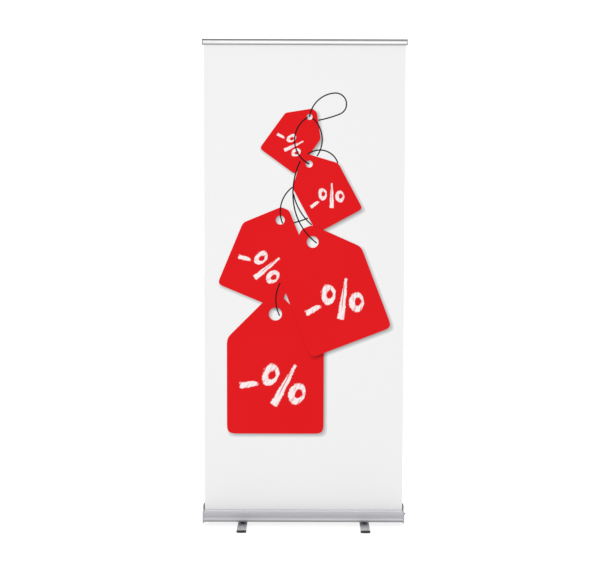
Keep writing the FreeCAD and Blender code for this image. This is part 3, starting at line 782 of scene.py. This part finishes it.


# %% [markdown]
# ## The film as a sheet
#
# The film hangs from the top rail and runs down through the base's slot to the roller.
# The roller's spring keeps it taut, so it is nearly flat, with a bow of about a
# millimetre that shows only in how light slides over it. A cloth simulation would
# settle to the same plane, so the slight bow is moved in directly. It dies out at the
# rail, which clamps the film straight, and above the slot.
#
# When the pole is lowered, film goes into the base and the print rides down with the
# rail. The sheet rides with the rail but isn't pressed together: the share of it that
# would stay out is worked out and not used. The print reads its place in metres, so
# it stays where it is under the rail.

# %% Banner film
FILM_BOTTOM = 0.030
FILM_THICK = 0.3 * MM
FILM_BOW = 1.2 * MM
BOW_START = 0.12
# how fast each wave of the bow runs across and up the film, and its share
BOW_WAVES = ((7.5, 2.5, 1.0), (3.1, -9, 0.5))
POLE_STAGES = 2

stage = [joint for joint in frame["joints"] if joint["name"] == "pole_extend"][0]
travel = POLE_STAGES * abs(stage["range_m"][0])
low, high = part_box("banner_film")
film_width = high.x - low.x
film_length = high.z - FILM_BOTTOM
bpy.ops.object.select_all(action="DESELECT")
bpy.ops.mesh.primitive_grid_add(
    x_subdivisions=34,
    y_subdivisions=96,
    size=1,
    location=(0, -FILM_THICK / 2, (high.z + FILM_BOTTOM) / 2),
    rotation=(math.pi / 2, 0, 0),
)
film = bpy.context.object
film.name = "printed_banner"
film.scale = (film_width, film_length, 1)
bpy.ops.object.transform_apply(location=True, rotation=True, scale=True)
for point in film.data.vertices:
    height = (point.co.z - BOW_START) / (high.z - BOW_START)
    if 0 < height < 1:
        x = point.co.x
        wave = sum(share * math.sin(across * x + up * height) for across, up, share in BOW_WAVES)
        point.co.y += FILM_BOW * math.sin(math.pi * height) * wave / 1.5
film.data.materials.append(film_face.material)
film.data.materials.append(film_back.material)
solid = film.modifiers.new("thickness", "SOLIDIFY")
solid.thickness = FILM_THICK
solid.offset = -1
solid.material_offset = 1
solid.material_offset_rim = 1
bpy.ops.object.modifier_apply(modifier=solid.name)
bpy.ops.object.shade_smooth_by_angle(angle=math.radians(30))

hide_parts("banner_film")
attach(film, "top_rail")
kept = (film_length - travel) / film_length
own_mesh(film)
print("film", round(film_width, 3), "by", round(film_length, 3), "m, travel", round(travel, 2))


# %% [markdown]
# The last two turns of the film stay on the roller when the banner is fully out. They
# are a strip that winds inwards, so it is made as one: an edge as long as the roller
# is turned round the axis step by step, and each step brings it a little nearer.

# %% Film left on the roller
WRAPS = 2
WRAP_STEPS = 48
WRAP_THICK = 0.25 * MM

low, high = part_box("banner_roll")
roll_axis = (low + high) / 2
roll_radius = (high.z - low.z) / 2
verts = []
for step in range(WRAPS * WRAP_STEPS + 1):
    radius = roll_radius - WRAP_THICK / 2 - FILM_THICK * step / WRAP_STEPS
    turn = 2 * math.pi * step / WRAP_STEPS
    y = roll_axis.y + radius * math.cos(turn)
    z = roll_axis.z - radius * math.sin(turn)
    verts += [(low.x, y, z), (high.x, y, z)]
faces = [(2 * i, 2 * i + 1, 2 * i + 3, 2 * i + 2) for i in range(WRAPS * WRAP_STEPS)]
wound_mesh = bpy.data.meshes.new("wound_film")
wound_mesh.from_pydata(verts, [], faces)
wound = bpy.data.objects.new("wound_film", wound_mesh)
bpy.context.scene.collection.objects.link(wound)
bpy.ops.object.select_all(action="DESELECT")
wound.select_set(True)
bpy.context.view_layer.objects.active = wound
solid = wound.modifiers.new("thickness", "SOLIDIFY")
solid.thickness = WRAP_THICK
solid.offset = 0
bpy.ops.object.modifier_apply(modifier=solid.name)
bpy.ops.object.mode_set(mode="EDIT")
bpy.ops.mesh.select_all(action="SELECT")
bpy.ops.mesh.normals_make_consistent(inside=False)
bpy.ops.object.mode_set(mode="OBJECT")
bpy.ops.object.shade_smooth_by_angle(angle=math.radians(30))
wound.data.materials.append(film_wound.material)
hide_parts("banner_roll")
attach(wound, "roller")


# %% [markdown]
# ## Modelling by hand, in code
#
# The small moulded parts are modelled as one would with the mouse: add a primitive of
# the right size, go into edit mode, select some faces or edges, and extrude, inset or
# bevel them. Code has no mouse, so it selects by asking each face or edge where it is
# and which way it faces. These helpers keep that short.

# %% Modelling helpers
def begin(name, add, **shape):
    """Add a primitive at its size and place, and go into edit mode."""
    bpy.ops.object.select_all(action="DESELECT")
    add(**shape)
    piece = bpy.context.object
    piece.name = name
    bpy.ops.object.transform_apply(location=True, rotation=True, scale=True)
    bpy.ops.object.mode_set(mode="EDIT")
    return piece


def middle(item):
    """The middle of a face or an edge."""
    return sum((point.co for point in item.verts), Vector()) / len(item.verts)


def select(piece, kind, test):
    """Select the faces or edges that pass the test, and nothing else."""
    bpy.ops.mesh.select_mode(type=kind)
    bpy.ops.mesh.select_all(action="DESELECT")
    mesh = bmesh.from_edit_mesh(piece.data)
    items = [item for item in (mesh.faces if kind == "FACE" else mesh.edges) if test(item)]
    for item in items:
        item.select_set(True)
    bmesh.update_edit_mesh(piece.data)
    return len(items)


def near(value, target, slack=0.01 * MM):
    """Whether two lengths are the same but for rounding."""
    return abs(value - target) < slack


def grow(move, scale=(1, 1, 1), centre=(0, 0, 0)):
    """Extrude the selected face by a move, then scale the new face."""
    bpy.ops.mesh.extrude_region_move(TRANSFORM_OT_translate={"value": move})
    bpy.ops.transform.resize(value=scale, center_override=centre)


def complete(piece, finish, slot, body, *stands_for):
    """Leave edit mode, smooth the shading and give the piece its finish and its body."""
    bpy.ops.object.mode_set(mode="OBJECT")
    bpy.ops.object.shade_smooth_by_angle(angle=math.radians(32))
    piece.data.materials.append(finish.material)
    adopt(piece, slot, body, *stands_for)


def adopt(piece, slot, body, *stands_for):
    """Attach a piece to its body and hide the nodes that it stands for. The slot is not used."""
    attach(piece, body)
    if stands_for:
        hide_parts(*stands_for)


def round_edges(piece, width, segments=3, angle=40):
    """Round every edge sharper than an angle."""
    bpy.ops.object.mode_set(mode="OBJECT")
    bevel = piece.modifiers.new("rounding", "BEVEL")
    bevel.width = width
    bevel.segments = segments
    bevel.angle_limit = math.radians(angle)
    bpy.ops.object.modifier_apply(modifier=bevel.name)
    bpy.ops.object.mode_set(mode="EDIT")


def copied(piece, name, scale):
    """A copy with its own mesh, mirrored or not by a scale about the origin."""
    twin = piece.copy()
    twin.data = piece.data.copy()
    twin.name = name
    twin.parent = None
    for key in list(twin.keys()):
        del twin[key]
    bpy.context.scene.collection.objects.link(twin)
    bpy.ops.object.select_all(action="DESELECT")
    twin.select_set(True)
    bpy.context.view_layer.objects.active = twin
    twin.scale = scale
    bpy.ops.object.transform_apply(location=True, rotation=True, scale=True)
    bpy.ops.object.mode_set(mode="EDIT")
    bpy.ops.mesh.select_all(action="SELECT")
    bpy.ops.mesh.normals_make_consistent(inside=False)
    bpy.ops.object.mode_set(mode="OBJECT")
    return twin


print("helpers ready")


# %% [markdown]
# ## Guide ears
#
# A black ear stands on each end cap, just outside the film, and keeps the film from
# wandering sideways as it winds. It bows outwards and leans in at its tip. It starts
# as a low block, its foot, and its top face is extruded upwards again and again, each
# time moved and narrowed a little. A bevel then rounds its corners, as a mould would.

# %% Guide ears
# inner side, outer side and height of each section, from the ear's lowest outer edge
EAR_SECTIONS = (
    (-6.6, -0.0, 5.6),
    (-5.6, -0.0, 9.0),
    (-5.2, -0.0, 13.5),
    (-5.8, -0.3, 18.0),
    (-6.6, -1.6, 22.4),
    (-7.3, -3.4, 25.2),
)
EAR_WIDTH = 8.3 * MM
EAR_FOOT = 4.2 * MM
EAR_ROUND = 0.7 * MM
EAR_CORNER = 3.4 * MM
EAR_RIM = 1.1 * MM
EAR_RECESS = 0.7 * MM

low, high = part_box("guide_ear_right")
outer = high.x
ear_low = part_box("end_cap_right")[1].z
ear_depth = high.y - low.y
ear_y = (low.y + high.y) / 2
ear = begin(
    "guide_ear_right_moulded",
    bpy.ops.mesh.primitive_cube_add,
    size=1,
    location=(outer - EAR_WIDTH / 2, ear_y, ear_low + EAR_FOOT / 2),
    scale=(EAR_WIDTH, ear_depth, EAR_FOOT),
)
select(ear, "FACE", lambda face: face.normal.z > 0.9)
left, right, height = outer - EAR_WIDTH, outer, ear_low + EAR_FOOT
for inner_side, outer_side, rise in EAR_SECTIONS:
    new_left, new_right = outer + inner_side * MM, outer + outer_side * MM
    new_height = ear_low + rise * MM
    across = (new_left + new_right) / 2
    move = (across - (left + right) / 2, 0, new_height - height)
    grow(move, ((new_right - new_left) / (right - left), 1, 1), (across, ear_y, new_height))
    left, right, height = new_left, new_right, new_height

def is_top_edge(edge):
    """Whether an edge runs across the ear's top, at its front or its back."""
    return near(middle(edge).z, height) and near(middle(edge).x, across)


count = select(ear, "EDGE", is_top_edge)
bpy.ops.mesh.bevel(offset=EAR_CORNER, segments=6, affect="EDGES")
select(ear, "FACE", lambda face: face.normal.y < -0.9 and middle(face).z > ear_low + EAR_FOOT)
bpy.ops.mesh.inset(thickness=EAR_RIM, depth=0)
bpy.ops.mesh.extrude_region_move(TRANSFORM_OT_translate={"value": (0, EAR_RECESS, 0)})
round_edges(ear, EAR_ROUND, 3, 30)
complete(ear, black_plastic, "black_plastic", "base", "guide_ear_right")
ear_left = copied(ear, "guide_ear_left_moulded", (-1, 1, 1))
adopt(ear_left, "black_plastic", "base", "guide_ear_left")
print("ear's top corners:", count, "faces:", len(ear.data.polygons))


# %% [markdown]
# ## Foot tips
#
# Each end of a foot is closed by a black cap that slips over the bar. It is round at
# its corners, has a soft top edge, a mouth that the bar goes into, and three grip ribs
# for the toe that swings the foot out. It is modelled once and copied to all four ends.

# %% Foot tips
TIP_LENGTH = 16 * MM
TIP_CORNER = 12 * MM
TIP_MOUTH = 0.9 * MM
TIP_POCKET = 8 * MM
TIP_EDGE = 1.7 * MM
RIB_COUNT = 3
RIB_START = 4.6 * MM
RIB_PITCH = 3.0 * MM
RIB_HALF = 11 * MM
RIB_SIZE = 1.3 * MM
RIB_RISE = 0.45 * MM
TIP_ROUND = 0.3 * MM

low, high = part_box("foot_tips_right")
foot_x = (low.x + high.x) / 2
tip_end = low.y + TIP_LENGTH
tip = begin(
    "foot_tip_right_front",
    bpy.ops.mesh.primitive_cube_add,
    size=1,
    location=(foot_x, low.y + TIP_LENGTH / 2, (low.z + high.z - RIB_RISE) / 2),
    scale=(high.x - low.x, TIP_LENGTH, high.z - low.z - RIB_RISE),
)
top = high.z - RIB_RISE
half_height = (top + low.z) / 2


def is_end_corner(edge):
    """Whether an edge is one of the two upright ones at the tip's closed end."""
    return near(middle(edge).y, low.y) and near(middle(edge).z, half_height)


def is_top_rim(edge):
    """Whether an edge lies between the top and a side, away from the mouth."""
    side = any(face.normal.z < 0.5 for face in edge.link_faces)
    high_up = near(middle(edge).z, top) and middle(edge).y < tip_end - 0.1 * MM
    return high_up and side and len(edge.link_faces) == 2


select(tip, "EDGE", is_end_corner)
bpy.ops.mesh.bevel(offset=TIP_CORNER, segments=10, affect="EDGES")
select(tip, "FACE", lambda face: face.normal.y > 0.9)
bpy.ops.mesh.inset(thickness=TIP_MOUTH, depth=0)
bpy.ops.mesh.extrude_region_move(TRANSFORM_OT_translate={"value": (0, -TIP_POCKET, 0)})
select(tip, "EDGE", is_top_rim)
bpy.ops.mesh.bevel(offset=TIP_EDGE, segments=5, affect="EDGES")
rib_shape = (2 * RIB_HALF, RIB_SIZE, 2 * RIB_RISE)
for rib in range(RIB_COUNT):
    spot = (foot_x, low.y + RIB_START + rib * RIB_PITCH, top)
    bpy.ops.mesh.primitive_cube_add(size=1, location=spot, scale=rib_shape)
round_edges(tip, TIP_ROUND, 2, 50)
complete(tip, black_plastic, "black_plastic", "right_foot", "foot_tips_right")
TIPS = {
    "foot_tip_right_rear": ((1, -1, 1), "right"),
    "foot_tip_left_front": ((-1, 1, 1), "left"),
    "foot_tip_left_rear": ((-1, -1, 1), "left"),
}
for name, (scale, side) in TIPS.items():
    adopt(copied(tip, name, scale), "black_plastic", side + "_foot", "foot_tips_" + side)
print("foot tip faces:", len(tip.data.polygons))


# %% [markdown]
# ## Lock knob
#
# The small button on the right end pulls and pushes the pin that holds the roller. It
# is knurled so that fingers hold it. Every second side face of a cylinder is inset and
# pushed in, which leaves the ridges between, and two insets leave a rim round the end
# and a shallow dish in it.

# %% Lock knob
KNURLS = 18
KNURL_EDGE = 0.1 * MM
KNURL_DEPTH = 0.28 * MM
KNOB_RIM = 0.5 * MM
KNOB_SLOPE = 0.9 * MM
KNOB_DISH = 0.35 * MM
KNOB_ROUND = 0.12 * MM

low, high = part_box("lock_knob")
knob_radius = (high.z - low.z) / 2
knob_y, knob_z = (low.y + high.y) / 2, (low.z + high.z) / 2
knob = begin(
    "lock_knob_knurled",
    bpy.ops.mesh.primitive_cylinder_add,
    vertices=2 * KNURLS,
    radius=knob_radius,
    depth=high.x - low.x,
    location=((low.x + high.x) / 2, knob_y, knob_z),
    rotation=(0, math.pi / 2, 0),
)


def side_number(face):
    """Which side of the knob a face is, counted round the axis."""
    spot = middle(face)
    turn = math.atan2(spot.z - knob_z, spot.y - knob_y) / (2 * math.pi)
    return math.floor(turn * 2 * KNURLS)


select(knob, "FACE", lambda face: abs(face.normal.x) < 0.1 and side_number(face) % 2 == 0)
bpy.ops.mesh.inset(thickness=KNURL_EDGE, depth=-KNURL_DEPTH, use_individual=True)
select(knob, "FACE", lambda face: near(middle(face).x, high.x))
bpy.ops.mesh.inset(thickness=KNOB_RIM, depth=0)
bpy.ops.mesh.inset(thickness=KNOB_SLOPE, depth=-KNOB_DISH)
round_edges(knob, KNOB_ROUND, 2, 35)
complete(knob, black_plastic, "black_plastic", "lock_button", "lock_knob")
print("knob faces:", len(knob.data.polygons))


# %% [markdown]
# ## Lock collars of the pole
#
# Each joint of the pole has a twist collar: turned one way it grips the inner tube.
# The collar is a hollow turned part with ribs. Its outside starts as an open cylinder,
# cut into bands by bisecting. Every second face of the middle band is inset and raised
# as a rib. Then the top edge is extruded along the collar's section, in over the lip,
# down the mouth, out and down the bore, and bridged to the bottom edge.

# %% Lock collars
COLLAR_RIBS = 16
SIDES_PER_RIB = 4
RIB_END = 4 * MM
RIB_ROOM = 1.0 * MM
RIB_SLOPE = 0.35 * MM
RIB_HEIGHT = 0.85 * MM
COLLAR_TAPER = 0.93
COLLAR_ROUND = 0.3 * MM
LIP = 5 * MM
BORE_FIT = 0.05 * MM
MOUTH_GAP = 0.35 * MM


def lock_collar(node, tube, inner_tube, body):
    """Model the collar that stands for a node, on a tube, round the tube inside it."""
    low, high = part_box(node)
    tube_low, tube_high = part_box(tube)
    inner_low, inner_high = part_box(inner_tube)
    bore = (tube_high.x - tube_low.x) / 2 + BORE_FIT
    mouth = (inner_high.x - inner_low.x) / 2 + MOUTH_GAP
    outer = (high.x - low.x) / 2 - RIB_ROOM
    centre = (low + high) / 2
    sides = COLLAR_RIBS * SIDES_PER_RIB
    collar = begin(
        node + "_turned",
        bpy.ops.mesh.primitive_cylinder_add,
        vertices=sides,
        radius=outer,
        depth=high.z - low.z,
        end_fill_type="NOTHING",
        location=centre,
    )
    for height in (low.z + RIB_END, high.z - RIB_END):
        bpy.ops.mesh.select_all(action="SELECT")
        bpy.ops.mesh.bisect(plane_co=(0, 0, height), plane_no=(0, 0, 1))

    def is_rib(face):
        spot = middle(face) - centre
        number = math.floor((math.atan2(spot.y, spot.x) / (2 * math.pi)) * sides)
        return abs(spot.z) < 1 * MM and number % SIDES_PER_RIB in (0, 1)

    select(collar, "FACE", is_rib)
    bpy.ops.mesh.inset(thickness=RIB_SLOPE, depth=RIB_HEIGHT)
    select(collar, "EDGE", lambda edge: edge.is_boundary and middle(edge).z > centre.z)
    radius, height = outer, high.z
    section = (
        (outer * COLLAR_TAPER, high.z),
        (mouth, high.z),
        (mouth, high.z - LIP),
        (bore, high.z - LIP),
        (bore, low.z),
    )
    for new_radius, new_height in section:
        move = {"value": (0, 0, new_height - height)}
        bpy.ops.mesh.extrude_edges_move(TRANSFORM_OT_translate=move)
        share = new_radius / radius
        bpy.ops.transform.resize(value=(share, share, 1), center_override=centre)
        radius, height = new_radius, new_height
    select(collar, "EDGE", lambda edge: edge.is_boundary)
    bpy.ops.mesh.bridge_edge_loops()
    bpy.ops.mesh.select_all(action="SELECT")
    bpy.ops.mesh.remove_doubles(threshold=0.001 * MM)
    bpy.ops.mesh.normals_make_consistent(inside=False)
    round_edges(collar, COLLAR_ROUND, 2, 50)
    complete(collar, black_plastic, "black_plastic", body, node)
    return collar


COLLARS = (
    ("lock_collar_lower", "pole_lower", "pole_middle", "lower_collar"),
    ("lock_collar_upper", "pole_middle", "pole_upper", "upper_collar"),
)
for names in COLLARS:
    print("collar faces:", len(lock_collar(*names).data.polygons))
